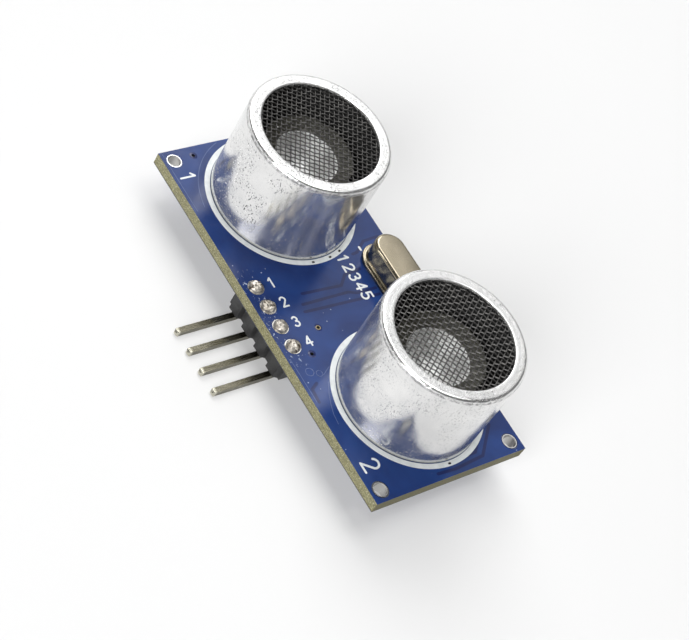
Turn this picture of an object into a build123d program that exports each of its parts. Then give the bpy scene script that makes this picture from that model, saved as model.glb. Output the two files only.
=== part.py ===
from build123d import *
from math import cos, radians, sin, sqrt
import os

# Two-eye ultrasonic distance sensor module: a blue circuit board that carries an
# ultrasonic transmitter and a receiver in drawn aluminium cans, a crystal and a bent
# four-pin header, with its electronics on the back.
# Units are millimetres. +X runs from the transmitter to the receiver, +Y from the
# header to the crystal, and +Z out of the cans. The origin is the centre of the four
# mounting holes on the back face of the board.

os.makedirs("parts", exist_ok=True)

# Board
board_length = 45.0
board_width = 20.3
board_thickness = 1.5
mask_thickness = 0.03
plating_thickness = 0.05
mask_clearance = 0.03
print_thickness = 0.02

# Mounting holes, placed from the edges of the board
mounting_inset_x = 1.35
mounting_inset_y = 1.3
mounting_hole_radius = 0.75
mounting_pad_radius = 0.93

# Transducer cans
can_spacing = 26.2
can_middle_x = -0.37
can_row_y = 0.62
can_radius = 8.05
can_height = 11.3
can_wall = 0.35
can_opening_radius = 6.6
can_edge_radius = 0.6
can_crimp = 0.12
print_ring_width = 0.6
print_ring_clearance = 0.05

# Wire screen behind each can's opening
screen_clearance = 0.05
screen_rim_width = 0.75
screen_pitch = 1.2
screen_wire = 0.34
screen_layer = 0.18
screen_crossing = 0.06
screen_wires = 13
screen_angles = {"transmitter": -33.5, "receiver": 33.0}

# Inside of a transducer
base_clearance = 0.05
base_thickness = 2.4
seat_outer_radius = 4.4
seat_wall = 1.1
seat_height = 1.7
seat_slot_width = 1.0
seat_slot_depth = 0.9
glue_thickness = 0.3
plate_radius = 4.5
plate_thickness = 0.3
piezo_radius = 3.1
piezo_thickness = 0.4
cone_foot_radius = 1.0
cone_shoulder_radius = 3.4
cone_rim_radius = 5.0
cone_shoulder_height = 2.5
cone_height = 3.3
cone_wall = 0.25
terminal_pitch = 10.2
terminal_radius = 0.45
terminal_rise = 1.1
terminal_tail = 1.3
terminal_chamfer = 0.12
wire_radius = 0.12
outer_wire_rise = 1.5
outer_wire_landing = 4.2
inner_wire_rise = 0.2
inner_wire_landing = 2.5

# Through-hole joints
hole_clearance = 0.05
terminal_pad_radius = 1.15
terminal_solder_height = 0.95

# Pin header
pin_count = 4
pin_pitch = 2.54
pin_width = 0.64
pin_row_x = -0.23
pin_row_inset = 1.55
pin_bend_drop = 0.85
pin_bend_radius = 0.6
pin_reach = 8.2
pin_rise = 0.35
pin_tip_chamfer = 0.18
header_depth = 2.5
header_height = 2.5
header_notch_depth = 0.45
header_notch_width = 1.1
header_notch_floor = 0.55
pin_hole_radius = 0.5
pin_pad_radius = 0.9
pin_solder_height = 0.55
pin_solder_radius = 0.86

# Crystal in a drawn metal can, its foot a small gap away from the receiver
crystal_x = 0.3
crystal_gap = 1.2
crystal_length = 10.2
crystal_width = 3.75
crystal_height = 2.9
crystal_edge_radius = 0.5
crystal_flange_length = 11.05
crystal_flange_width = 4.65
crystal_flange_thickness = 0.45
crystal_flange_chamfer = 0.15
crystal_lead_pitch = 4.88
crystal_lead_radius = 0.22
crystal_lead_tail = 1.2
crystal_pad_radius = 0.8
crystal_solder_height = 0.75

# Plated holes that join the two faces of the board
via_radius = 0.2
via_pad_radius = 0.4
via_edge_inset = 1.2
via_places = [(2.36, -4.52), (5.0, -7.05), (via_edge_inset - board_length / 2, -6.3)]

# Chips on the back
chip_body_width = 3.9
chip_body_height = 1.45
chip_standoff = 0.15
chip_draft = 7.0
chip_lead_pitch = 1.27
chip_lead_width = 0.42
chip_lead_thickness = 0.2
chip_lead_span = 6.0
chip_foot = 0.6
chip_pad_extra = 0.2
chip_margin = 1.03
chip_dot_inset = 1.0
chip_dot_radius = 0.4
chip_dot_depth = 0.1

# Small transistor on the back
transistor_x = -6.1
transistor_y = 5.2
transistor_length = 2.9
transistor_width = 1.3
transistor_height = 0.95
transistor_span = 2.4
transistor_pitch = 1.9
transistor_lead_width = 0.4
transistor_lead_thickness = 0.12
transistor_foot = 0.4

# Resistors and capacitors on the back: x, y and turn of each
small_part_length = 1.6
small_part_width = 0.8
small_part_cap = 0.32
resistor_height = 0.45
capacitor_height = 0.8
resistor_places = [
    (-17.0, -7.6, 0), (-14.6, -7.6, 0), (-12.2, -7.6, 0), (-9.8, -7.6, 0), (-7.6, -7.4, 90),
    (8.3, -7.6, 0), (10.9, -7.6, 0), (13.5, -7.6, 0), (16.1, -7.6, 0), (-4.1, -4.9, 90),
    (-2.5, -4.9, 90), (4.6, -4.9, 90), (-16.9, 8.0, 0), (-14.5, 8.0, 0), (-12.1, 8.0, 0),
    (16.6, 8.0, 0),
]
capacitor_places = [
    (-9.7, 8.0, 0), (-6.9, 8.2, 90), (6.6, 8.0, 90), (8.6, 8.0, 90), (11.2, 8.0, 0),
    (13.9, 8.0, 0), (0.2, -4.9, 0), (-19.3, 4.6, 90), (19.2, -3.6, 90),
]

# Derived heights
core_bottom = mask_thickness
core_top = board_thickness - mask_thickness
core_thickness = core_top - core_bottom
can_top = board_thickness + can_height
screen_top = can_top - can_wall
base_top = board_thickness + base_thickness
seat_top = base_top + seat_height
plate_bottom = seat_top + glue_thickness
plate_top = plate_bottom + plate_thickness
terminal_top = base_top + terminal_rise
pin_level = -header_height - pin_bend_drop

# Derived radii
can_inner_radius = can_radius - can_wall
screen_radius = can_inner_radius - screen_clearance
base_radius = can_inner_radius - base_clearance
terminal_hole_radius = terminal_radius + hole_clearance
crystal_hole_radius = crystal_lead_radius + hole_clearance

# Derived places
can_places = {
    "transmitter": (can_middle_x - can_spacing / 2, can_row_y),
    "receiver": (can_middle_x + can_spacing / 2, can_row_y),
}
terminal_places = [
    (x + side * terminal_pitch / 2, y) for x, y in can_places.values() for side in (-1, 1)
]
pin_row_y = pin_row_inset - board_width / 2
pin_xs = [pin_row_x + (i - (pin_count - 1) / 2) * pin_pitch for i in range(pin_count)]
pin_places = [(x, pin_row_y) for x in pin_xs]
flange_end_x = crystal_x + (crystal_flange_length - crystal_flange_width) / 2
flange_end_run = can_places["receiver"][0] - flange_end_x
flange_end_reach = can_radius + crystal_gap + crystal_flange_width / 2
crystal_y = can_row_y + sqrt(flange_end_reach ** 2 - flange_end_run ** 2)
crystal_lead_places = [
    (crystal_x + side * crystal_lead_pitch / 2, crystal_y) for side in (-1, 1)
]
mounting_x = board_length / 2 - mounting_inset_x
mounting_y = board_width / 2 - mounting_inset_y
mounting_places = [(sx * mounting_x, sy * mounting_y) for sx in (-1, 1) for sy in (-1, 1)]

# Each kind of plated hole: places, inner radius, pad radius
mounting_holes = (mounting_places, mounting_hole_radius, mounting_pad_radius)
pin_holes = (pin_places, pin_hole_radius, pin_pad_radius)
terminal_holes = (terminal_places, terminal_hole_radius, terminal_pad_radius)
crystal_holes = (crystal_lead_places, crystal_hole_radius, crystal_pad_radius)
vias = (via_places, via_radius, via_pad_radius)
plated_holes = [mounting_holes, pin_holes, terminal_holes, crystal_holes, vias]

# Each chip on the back: place, number of leads and turn of its long side from X
chips = {
    "controller": (0.3, 1.0, 14, 0),
    "driver": (can_places["transmitter"][0], 0.3, 16, 90),
    "amplifier": (can_places["receiver"][0], 0.3, 14, 90),
}


def level(x, y, z, turn=0):
    """Plane parallel to the board at a height, its X axis turned about Z."""
    return Plane(origin=(x, y, z), x_dir=(cos(radians(turn)), sin(radians(turn)), 0))


def upright(x, y, turn=0):
    """Plane through a vertical axis: its X runs away from the axis and its Y is up."""
    across = (cos(radians(turn)), sin(radians(turn)), 0)
    return Plane(origin=(x, y, 0), x_dir=across, z_dir=(across[1], -across[0], 0))


def lathe_axis(x, y):
    return Axis((x, y, 0), (0, 0, 1))


def turned(place, dx, dy, turn):
    """A point given in a part's own axes, moved to the part's place on the board."""
    c = cos(radians(turn))
    s = sin(radians(turn))
    return (place[0] + dx * c - dy * s, place[1] + dx * s + dy * c)


def save(piece, name):
    piece.part.label = name
    export_step(piece.part, f"parts/{name}.step")


# Pads for the parts soldered to the back: centre, size along X, size along Y
def chip_pads(place, leads, turn):
    pads = []
    reach = chip_lead_span / 2 - chip_foot / 2
    for side in (-1, 1):
        for i in range(leads // 2):
            along = (i - (leads // 2 - 1) / 2) * chip_lead_pitch
            pads.append((*turned(place, along, side * reach, turn), turn))
    return pads


chip_pad_places = []
for chip_x, chip_y, chip_leads, chip_turn in chips.values():
    chip_pad_places += chip_pads((chip_x, chip_y), chip_leads, chip_turn)
chip_pad_size = (chip_lead_width + chip_pad_extra, chip_foot + 2 * chip_pad_extra)

transistor_foot_reach = transistor_span / 2 - transistor_foot / 2
transistor_pad_places = [
    (transistor_x - transistor_pitch / 2, transistor_y - transistor_foot_reach, 0),
    (transistor_x + transistor_pitch / 2, transistor_y - transistor_foot_reach, 0),
    (transistor_x, transistor_y + transistor_foot_reach, 0),
]
transistor_pad_size = (
    transistor_lead_width + chip_pad_extra,
    transistor_foot + 2 * chip_pad_extra,
)

small_pad_reach = small_part_length / 2 - small_part_cap / 2
small_pad_places = [
    (*turned((x, y), side * small_pad_reach, 0, turn), turn)
    for x, y, turn in resistor_places + capacitor_places
    for side in (-1, 1)
]
small_pad_size = (small_part_cap + 2 * chip_pad_extra, small_part_width + chip_pad_extra)

surface_pads = [
    (chip_pad_places, chip_pad_size),
    (transistor_pad_places, transistor_pad_size),
    (small_pad_places, small_pad_size),
]


# Board of glass fibre laminate with its drilled holes
with BuildPart() as circuit_board:
    with BuildSketch(Plane.XY.offset(core_bottom)):
        Rectangle(board_length, board_width)
    extrude(amount=core_thickness)
    with BuildSketch(Plane.XY.offset(core_bottom)):
        for places, bore, pad in plated_holes:
            with Locations(*places):
                Circle(bore + plating_thickness)
    extrude(amount=core_thickness, mode=Mode.SUBTRACT)
save(circuit_board, "circuit_board")

# Blue film on the front face
with BuildPart() as front_solder_mask:
    with BuildSketch(Plane.XY.offset(core_top)):
        Rectangle(board_length, board_width)
        for places, bore, pad in plated_holes:
            with Locations(*places):
                Circle(pad + mask_clearance, mode=Mode.SUBTRACT)
    extrude(amount=mask_thickness)
save(front_solder_mask, "front_solder_mask")

# Blue film on the back face, open at every pad
with BuildPart() as back_solder_mask:
    with BuildSketch(Plane.XY):
        Rectangle(board_length, board_width)
        for places, bore, pad in plated_holes:
            with Locations(*places):
                Circle(pad + mask_clearance, mode=Mode.SUBTRACT)
        for places, (pad_x, pad_y) in surface_pads:
            for x, y, turn in places:
                with Locations(Location((x, y, 0), (0, 0, turn))):
                    Rectangle(
                        pad_x + 2 * mask_clearance,
                        pad_y + 2 * mask_clearance,
                        mode=Mode.SUBTRACT,
                    )
    extrude(amount=mask_thickness)
save(back_solder_mask, "back_solder_mask")

# White rings printed round the two cans
ring_inner_radius = can_radius + print_ring_clearance
with BuildPart() as board_print:
    with BuildSketch(Plane.XY.offset(board_thickness)):
        with Locations(*can_places.values()):
            Circle(ring_inner_radius + print_ring_width)
            Circle(ring_inner_radius, mode=Mode.SUBTRACT)
    extrude(amount=print_thickness)
save(board_print, "board_print")


# Copper barrel of a plated hole, with a ring-shaped pad on each face
def plating(holes, name):
    places, bore, pad = holes
    wall = bore + plating_thickness
    with BuildPart() as barrels:
        for x, y in places:
            with BuildSketch(upright(x, y)):
                with BuildLine():
                    Polyline(
                        (bore, 0), (pad, 0), (pad, core_bottom),
                        (wall, core_bottom), (wall, core_top), (pad, core_top),
                        (pad, board_thickness), (bore, board_thickness), close=True,
                    )
                make_face()
            revolve(axis=lathe_axis(x, y))
    save(barrels, name)


plating(mounting_holes, "mounting_hole_plating")
plating(pin_holes, "header_hole_plating")
plating(terminal_holes, "terminal_hole_plating")
plating(crystal_holes, "crystal_hole_plating")
plating(vias, "via_plating")

# Tinned copper pads on the back
with BuildPart() as surface_pad_copper:
    with BuildSketch(Plane.XY):
        for places, (pad_x, pad_y) in surface_pads:
            for x, y, turn in places:
                with Locations(Location((x, y, 0), (0, 0, turn))):
                    Rectangle(pad_x, pad_y)
    extrude(amount=mask_thickness)
save(surface_pad_copper, "surface_pads")

# Header housing: one moulded strip of chamfered cells with a square hole for each pin
header_length = pin_count * pin_pitch
cell_edges = [pin_row_x + (i - pin_count / 2) * pin_pitch for i in range(pin_count + 1)]
with BuildPart() as header_housing:
    with BuildSketch(Plane.XY.offset(-header_height)):
        with Locations((pin_row_x, pin_row_y)):
            Rectangle(header_length, header_depth)
        for x in cell_edges:
            for side in (-1, 1):
                face_y = pin_row_y + side * header_depth / 2
                floor_y = face_y - side * header_notch_depth
                with BuildLine():
                    Polyline(
                        (x - header_notch_width / 2, face_y),
                        (x - header_notch_floor / 2, floor_y),
                        (x + header_notch_floor / 2, floor_y),
                        (x + header_notch_width / 2, face_y), close=True,
                    )
                make_face(mode=Mode.SUBTRACT)
        with Locations(*pin_places):
            Rectangle(pin_width, pin_width, mode=Mode.SUBTRACT)
    extrude(amount=header_height)
save(header_housing, "header_housing")

# Header pins, bent below the housing to leave past the edge of the board
half_pin = pin_width / 2
pin_top = board_thickness + pin_rise
pin_tip_y = pin_row_y - pin_reach
bend_y = pin_row_y - pin_bend_radius
bend_z = pin_level + pin_bend_radius
inner_bend = pin_bend_radius - half_pin
outer_bend = pin_bend_radius + half_pin
for number, x in enumerate(pin_xs, start=1):
    side_plane = Plane(origin=(x - half_pin, 0, 0), x_dir=(0, 1, 0), z_dir=(1, 0, 0))
    with BuildPart() as header_pin:
        with BuildSketch(side_plane):
            with BuildLine():
                Line((pin_row_y + half_pin, bend_z), (pin_row_y + half_pin, pin_top))
                Line((pin_row_y + half_pin, pin_top), (pin_row_y - half_pin, pin_top))
                Line((pin_row_y - half_pin, pin_top), (pin_row_y - half_pin, bend_z))
                CenterArc((bend_y, bend_z), inner_bend, 0, -90)
                Line((bend_y, pin_level + half_pin), (pin_tip_y, pin_level + half_pin))
                Line((pin_tip_y, pin_level + half_pin), (pin_tip_y, pin_level - half_pin))
                Line((pin_tip_y, pin_level - half_pin), (bend_y, pin_level - half_pin))
                CenterArc((bend_y, bend_z), outer_bend, -90, 90)
            make_face()
        extrude(amount=pin_width)
        chamfer(header_pin.faces().sort_by(Axis.Y)[0].edges(), pin_tip_chamfer)
        chamfer(header_pin.faces().sort_by(Axis.Z)[-1].edges(), pin_tip_chamfer)
    save(header_pin, f"header_pin_{number}")

# Solder of the header: a round cap on the front face and a fill round the square pin
dome_top = board_thickness + pin_solder_height
dome_radius = (pin_solder_radius ** 2 + pin_solder_height ** 2) / (2 * pin_solder_height)
dome_centre = dome_top - dome_radius
with BuildPart() as header_solder:
    for x, y in pin_places:
        with BuildSketch(upright(x, y)):
            with BuildLine():
                Polyline(
                    (0, dome_top), (0, 0), (pin_hole_radius, 0),
                    (pin_hole_radius, board_thickness), (pin_solder_radius, board_thickness),
                )
                ThreePointArc(
                    (pin_solder_radius, board_thickness),
                    (dome_radius * cos(radians(45)), dome_centre + dome_radius * sin(radians(45))),
                    (0, dome_top),
                )
            make_face()
        revolve(axis=lathe_axis(x, y))
    with BuildSketch(Plane.XY):
        with Locations(*pin_places):
            Rectangle(pin_width, pin_width)
    extrude(amount=pin_top, mode=Mode.SUBTRACT)
save(header_solder, "header_solder")


# Solder on the back: a cone round a round lead, filling its hole too
def back_solder(places, lead_radius, bore, pad, height, name):
    with BuildPart() as joints:
        for x, y in places:
            with BuildSketch(upright(x, y)):
                with BuildLine():
                    Polyline(
                        (lead_radius, board_thickness), (bore, board_thickness), (bore, 0),
                        (pad, 0), (lead_radius, -height), close=True,
                    )
                make_face()
            revolve(axis=lathe_axis(x, y))
    save(joints, name)


back_solder(
    crystal_lead_places, crystal_lead_radius, crystal_hole_radius,
    crystal_pad_radius, crystal_solder_height, "crystal_solder",
)

# Crystal: drawn can welded to its flanged foot, sealed
with BuildPart() as crystal_can:
    with BuildSketch(level(crystal_x, crystal_y, board_thickness)):
        SlotOverall(crystal_flange_length, crystal_flange_width)
    extrude(amount=crystal_flange_thickness)
    with BuildSketch(level(crystal_x, crystal_y, board_thickness + crystal_flange_thickness)):
        SlotOverall(crystal_length, crystal_width)
    extrude(amount=crystal_height - crystal_flange_thickness)
    fillet(crystal_can.faces().sort_by(Axis.Z)[-1].edges(), crystal_edge_radius)
    flange_face = crystal_can.faces().filter_by(Plane.XY).sort_by(Axis.Z)[1]
    chamfer(flange_face.outer_wire().edges(), crystal_flange_chamfer)
save(crystal_can, "crystal_can")

with BuildPart() as crystal_leads:
    for x, y in crystal_lead_places:
        with BuildSketch(level(x, y, -crystal_lead_tail)):
            Circle(crystal_lead_radius)
        extrude(amount=board_thickness + crystal_lead_tail)
save(crystal_leads, "crystal_leads")

# The two transducers
for side, (x, y) in can_places.items():
    axis = lathe_axis(x, y)
    section = upright(x, y)

    # Drawn aluminium can with a rolled front edge and a crimped back edge
    with BuildPart() as can:
        with BuildSketch(section):
            with BuildLine():
                Polyline(
                    (can_inner_radius, board_thickness), (can_radius, board_thickness),
                    (can_radius, can_top), (can_opening_radius, can_top),
                    (can_opening_radius, screen_top), (can_inner_radius, screen_top), close=True,
                )
            make_face()
        revolve(axis=axis)
        front_edge = can.edges().group_by(Axis.Z)[-1].sort_by(SortBy.RADIUS)[-1]
        fillet(front_edge, can_edge_radius)
        back_edge = can.edges().group_by(Axis.Z)[0].sort_by(SortBy.RADIUS)[-1]
        chamfer(back_edge, can_crimp)
    save(can, f"{side}_can")

    # Screen: two crossing layers of wire in a flat rim
    screen_bottom = screen_top - 2 * screen_layer + screen_crossing
    with BuildPart() as screen:
        with BuildSketch(level(x, y, screen_bottom)):
            Circle(screen_radius)
            Circle(screen_radius - screen_rim_width, mode=Mode.SUBTRACT)
        extrude(amount=screen_top - screen_bottom)
        for layer_bottom, turn in (
            (screen_bottom, screen_angles[side]),
            (screen_top - screen_layer, screen_angles[side] + 90),
        ):
            with BuildSketch(level(x, y, layer_bottom, turn)):
                with GridLocations(0, screen_pitch, 1, screen_wires):
                    Rectangle(2 * screen_radius, screen_wire)
                Circle(screen_radius - screen_rim_width / 2, mode=Mode.INTERSECT)
            extrude(amount=screen_layer)
    save(screen, f"{side}_screen")

    # Moulded base that closes the can, with a raised seat and a slot for one wire
    with BuildPart() as base:
        with BuildSketch(level(x, y, board_thickness)):
            Circle(base_radius)
        extrude(amount=base_thickness)
        with BuildSketch(level(x, y, base_top)):
            Circle(seat_outer_radius)
            Circle(seat_outer_radius - seat_wall, mode=Mode.SUBTRACT)
        extrude(amount=seat_height)
        with BuildSketch(level(x - seat_outer_radius, y, seat_top)):
            Rectangle(2 * seat_wall + seat_slot_width, seat_slot_width)
        extrude(amount=-seat_slot_depth, mode=Mode.SUBTRACT)
        with BuildSketch(level(x, y, board_thickness)):
            with Locations((-terminal_pitch / 2, 0), (terminal_pitch / 2, 0)):
                Circle(terminal_radius)
        extrude(amount=base_thickness, mode=Mode.SUBTRACT)
    save(base, f"{side}_base")

    # Soft glue between the seat and the vibrating plate
    with BuildPart() as glue:
        with BuildSketch(level(x, y, seat_top)):
            Circle(seat_outer_radius)
            Circle(seat_outer_radius - seat_wall, mode=Mode.SUBTRACT)
        extrude(amount=glue_thickness)
    save(glue, f"{side}_glue_ring")

    with BuildPart() as plate:
        with BuildSketch(level(x, y, plate_bottom)):
            Circle(plate_radius)
        extrude(amount=plate_thickness)
    save(plate, f"{side}_metal_plate")

    with BuildPart() as piezo:
        with BuildSketch(level(x, y, plate_bottom)):
            Circle(piezo_radius)
        extrude(amount=-piezo_thickness)
    save(piezo, f"{side}_piezo_disc")

    # Spun cone that couples the plate to the air: foot, flaring wall and flat rim
    slope = cone_wall * sqrt(2)
    with BuildPart() as cone:
        with BuildSketch(section):
            with BuildLine():
                Polyline(
                    (0, plate_top), (cone_foot_radius, plate_top),
                    (cone_shoulder_radius + slope, plate_top + cone_shoulder_height - slope),
                    (cone_rim_radius, plate_top + cone_height - cone_wall),
                    (cone_rim_radius, plate_top + cone_height),
                    (cone_shoulder_radius, plate_top + cone_shoulder_height),
                    (cone_foot_radius - cone_wall / 2, plate_top + cone_wall),
                    (0, plate_top + cone_wall), close=True,
                )
            make_face()
        revolve(axis=axis)
    save(cone, f"{side}_cone")

    # Terminals: two round pins through the base and the board
    with BuildPart() as terminals:
        for end in (-1, 1):
            with BuildSketch(level(x + end * terminal_pitch / 2, y, -terminal_tail)):
                Circle(terminal_radius)
            extrude(amount=terminal_top + terminal_tail)
        chamfer(terminals.edges().group_by(Axis.Z)[0], terminal_chamfer)
    save(terminals, f"{side}_terminals")

    # Wires from the terminals to the plate and, through the slot, to the disc below it
    with BuildPart() as lead_wires:
        routes = (
            [(terminal_pitch / 2, terminal_top), (terminal_pitch / 2, terminal_top + outer_wire_rise),
             (outer_wire_landing, terminal_top + outer_wire_rise), (outer_wire_landing, plate_top)],
            [(-terminal_pitch / 2, terminal_top), (-terminal_pitch / 2, terminal_top + inner_wire_rise),
             (-inner_wire_landing, terminal_top + inner_wire_rise),
             (-inner_wire_landing, plate_bottom - piezo_thickness)],
        )
        for route in routes:
            with BuildLine(section) as path:
                Polyline(*route)
            with BuildSketch(level(x + route[0][0], y, terminal_top)):
                Circle(wire_radius)
            sweep(path=path.wires()[0], transition=Transition.RIGHT)
    save(lead_wires, f"{side}_lead_wires")

    own_terminals = [(x - terminal_pitch / 2, y), (x + terminal_pitch / 2, y)]
    back_solder(
        own_terminals, terminal_radius, terminal_hole_radius,
        terminal_pad_radius, terminal_solder_height, f"{side}_solder",
    )

# Chips on the back: a moulded body and two rows of gull-wing leads
chip_top = -chip_standoff
chip_parting = chip_top - chip_body_height / 2
lead_shoulder = chip_body_width / 2
foot_start = chip_lead_span / 2 - chip_foot
for name, (chip_x, chip_y, leads, turn) in chips.items():
    body_length = (leads / 2 - 1) * chip_lead_pitch + chip_margin
    with BuildPart() as body:
        with BuildSketch(level(chip_x, chip_y, chip_parting, turn)):
            Rectangle(body_length, chip_body_width)
        extrude(amount=chip_body_height / 2, both=True, taper=chip_draft)
        with BuildSketch(level(
            *turned((chip_x, chip_y), chip_dot_inset - body_length / 2,
                    chip_dot_inset - chip_body_width / 2, turn),
            chip_top - chip_body_height,
        )):
            Circle(chip_dot_radius)
        extrude(amount=chip_dot_depth, mode=Mode.SUBTRACT)
    save(body, f"{name}_chip")

    with BuildPart() as lead_rows:
        for row in (-1, 1):
            for i in range(leads // 2):
                along = (i - (leads // 2 - 1) / 2) * chip_lead_pitch - chip_lead_width / 2
                lx, ly = turned((chip_x, chip_y), along, 0, turn)
                across = (-sin(radians(turn)) * row, cos(radians(turn)) * row, 0)
                along_dir = (cos(radians(turn)), sin(radians(turn)), 0)
                plane = Plane(origin=(lx, ly, 0), x_dir=across,
                              z_dir=(along_dir[0], along_dir[1], 0))
                up = 1 if row == 1 else -1
                with BuildSketch(plane):
                    with BuildLine():
                        Polyline(
                            (lead_shoulder, up * (chip_parting + chip_lead_thickness / 2)),
                            (foot_start - chip_lead_thickness,
                             up * (chip_parting + chip_lead_thickness / 2)),
                            (foot_start, 0),
                            (chip_lead_span / 2, 0),
                            (chip_lead_span / 2, -up * chip_lead_thickness),
                            (foot_start + chip_lead_thickness,
                             -up * chip_lead_thickness),
                            (foot_start, up * (chip_parting - chip_lead_thickness / 2)),
                            (lead_shoulder, up * (chip_parting - chip_lead_thickness / 2)),
                            close=True,
                        )
                    make_face()
                extrude(amount=chip_lead_width)
    save(lead_rows, f"{name}_chip_leads")

# Small transistor
transistor_top = -transistor_lead_thickness / 2
with BuildPart() as transistor_body:
    with BuildSketch(level(transistor_x, transistor_y, transistor_top - transistor_height / 2)):
        Rectangle(transistor_length, transistor_width)
    extrude(amount=transistor_height / 2, both=True, taper=chip_draft)
save(transistor_body, "transistor_body")

transistor_parting = transistor_top - transistor_height / 2
with BuildPart() as transistor_leads:
    for foot_x, foot_y, turn in transistor_pad_places:
        row = 1 if foot_y > transistor_y else -1
        plane = Plane(
            origin=(foot_x - transistor_lead_width / 2, transistor_y, 0),
            x_dir=(0, row, 0), z_dir=(1, 0, 0),
        )
        bend_at = transistor_span / 2 - transistor_foot
        with BuildSketch(plane):
            with BuildLine():
                Polyline(
                    (transistor_width / 2, row * (transistor_parting + transistor_lead_thickness / 2)),
                    (bend_at, row * (transistor_parting + transistor_lead_thickness / 2)),
                    (bend_at, 0),
                    (transistor_span / 2, 0),
                    (transistor_span / 2, -row * transistor_lead_thickness),
                    (bend_at + transistor_lead_thickness,
                     -row * transistor_lead_thickness),
                    (bend_at + transistor_lead_thickness,
                     row * (transistor_parting - transistor_lead_thickness / 2)),
                    (transistor_width / 2, row * (transistor_parting - transistor_lead_thickness / 2)),
                    close=True,
                )
            make_face()
        extrude(amount=transistor_lead_width)
save(transistor_leads, "transistor_leads")


# Resistors and capacitors: a body between two metal end caps
def small_parts(places, height, name):
    body_length = small_part_length - 2 * small_part_cap
    with BuildPart() as bodies:
        with BuildSketch(Plane.XY):
            for x, y, turn in places:
                with Locations(Location((x, y, 0), (0, 0, turn))):
                    Rectangle(body_length, small_part_width)
        extrude(amount=-height)
    save(bodies, f"{name}_bodies")
    with BuildPart() as caps:
        with BuildSketch(Plane.XY):
            for x, y, turn in places:
                for end in (-1, 1):
                    px, py = turned((x, y), end * (small_part_length - small_part_cap) / 2, 0, turn)
                    with Locations(Location((px, py, 0), (0, 0, turn))):
                        Rectangle(small_part_cap, small_part_width)
        extrude(amount=-height)
    save(caps, f"{name}_end_caps")


small_parts(resistor_places, resistor_height, "resistor")
small_parts(capacitor_places, capacitor_height, "capacitor")
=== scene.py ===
import math

import bmesh
import bpy
from mathutils import Matrix, Vector, noise


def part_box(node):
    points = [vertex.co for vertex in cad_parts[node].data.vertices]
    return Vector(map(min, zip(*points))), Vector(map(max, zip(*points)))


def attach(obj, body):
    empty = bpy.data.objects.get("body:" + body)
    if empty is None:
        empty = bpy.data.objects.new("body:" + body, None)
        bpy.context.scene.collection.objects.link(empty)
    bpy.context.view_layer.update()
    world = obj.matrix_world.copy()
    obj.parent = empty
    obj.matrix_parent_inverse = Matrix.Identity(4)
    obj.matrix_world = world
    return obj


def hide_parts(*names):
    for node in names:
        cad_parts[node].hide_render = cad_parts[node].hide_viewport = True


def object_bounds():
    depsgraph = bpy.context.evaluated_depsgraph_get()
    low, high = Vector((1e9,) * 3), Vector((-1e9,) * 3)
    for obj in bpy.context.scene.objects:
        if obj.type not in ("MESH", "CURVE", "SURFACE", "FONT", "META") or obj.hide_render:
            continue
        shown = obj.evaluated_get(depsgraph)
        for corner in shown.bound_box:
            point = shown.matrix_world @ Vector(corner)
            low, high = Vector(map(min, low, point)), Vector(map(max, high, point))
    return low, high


# Looks of a two-eye ultrasonic distance sensor module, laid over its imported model.
# Shapes are written in millimetres of the part's own frame and scaled to metres.

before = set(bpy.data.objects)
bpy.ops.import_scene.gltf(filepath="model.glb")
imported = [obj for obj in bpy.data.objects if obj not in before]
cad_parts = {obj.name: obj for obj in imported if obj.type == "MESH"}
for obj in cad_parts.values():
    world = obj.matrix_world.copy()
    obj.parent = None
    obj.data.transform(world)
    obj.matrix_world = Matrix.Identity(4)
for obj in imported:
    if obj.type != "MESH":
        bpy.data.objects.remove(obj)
cad_box = [list(corner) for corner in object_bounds()]

MM = 0.001
ROOT = "root"


def box_mm(node):
    low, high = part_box(node)
    return low / MM, high / MM


# Sizes read from the frame
board_low, board_high = box_mm("circuit_board")
mask_top = box_mm("front_solder_mask")[1].z
mask_bottom = box_mm("back_solder_mask")[0].z
cans = {}
for side in ("transmitter", "receiver"):
    low, high = box_mm(f"{side}_can")
    cans[side] = {
        "x": (low.x + high.x) / 2,
        "y": (low.y + high.y) / 2,
        "radius": (high.x - low.x) / 2,
        "top": high.z,
    }
pin_places = []
for index in range(1, 5):
    low, high = box_mm(f"header_pin_{index}")
    pin_places.append(((low.x + high.x) / 2, high.y - (high.x - low.x) / 2))
pin_end_y = cad_box[0][1] / MM

# Mounting holes: the radius of their pads, and of the part that the film leaves bare
hole_pad = 0.93
hole_bare = 0.85
low, high = box_mm("mounting_hole_plating")
hole_x = (high.x - low.x) / 2 - hole_pad
hole_y = (high.y - low.y) / 2 - hole_pad

# Print and other thin films start a little inside the solder mask
sink = 0.01

# Cans
can_wall = 0.35
can_opening = 6.6
can_roll = 0.42
can_crimp = 0.12
can_rows = 20
can_steps = 360
can_inner_foot = 1.0
lip_round = 0.14
lip_flat_inset = 0.25
lip_hollow = 0.012

# Woven screens
wire_pitch = 0.53
wire_radius = 0.066
wire_reach = 7.3
wire_sides = 6
wire_steps = 4
wire_lift = 0.85
wire_sway = 0.05
wire_wander = 0.03
screen_depth = 2.4
screen_turn = {"transmitter": -33.5, "receiver": 33.0}
screen_rim_inner = 6.9
screen_rim_outer = 7.6
screen_rim_below = 0.18
screen_rim_above = 0.20
screen_rim_turns = 96

# Cones
cone_foot = 1.0
cone_shoulder = 3.4
cone_floor = 0.2
cone_wall = 0.22
cone_rim_rise = 0.8
cone_curve = 0.75
cone_steps = 14
cone_lip = 0.12
cone_lip_rise = 0.05
cone_turns = 120

# Crystal
flange_thickness = 0.45
flange_chamfer = 0.05
flange_round = 0.12
lid_length = 10.2
lid_width = 3.75
lid_foot_round = 0.15
lid_edge_round = 0.42
slot_end_steps = 24

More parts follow.
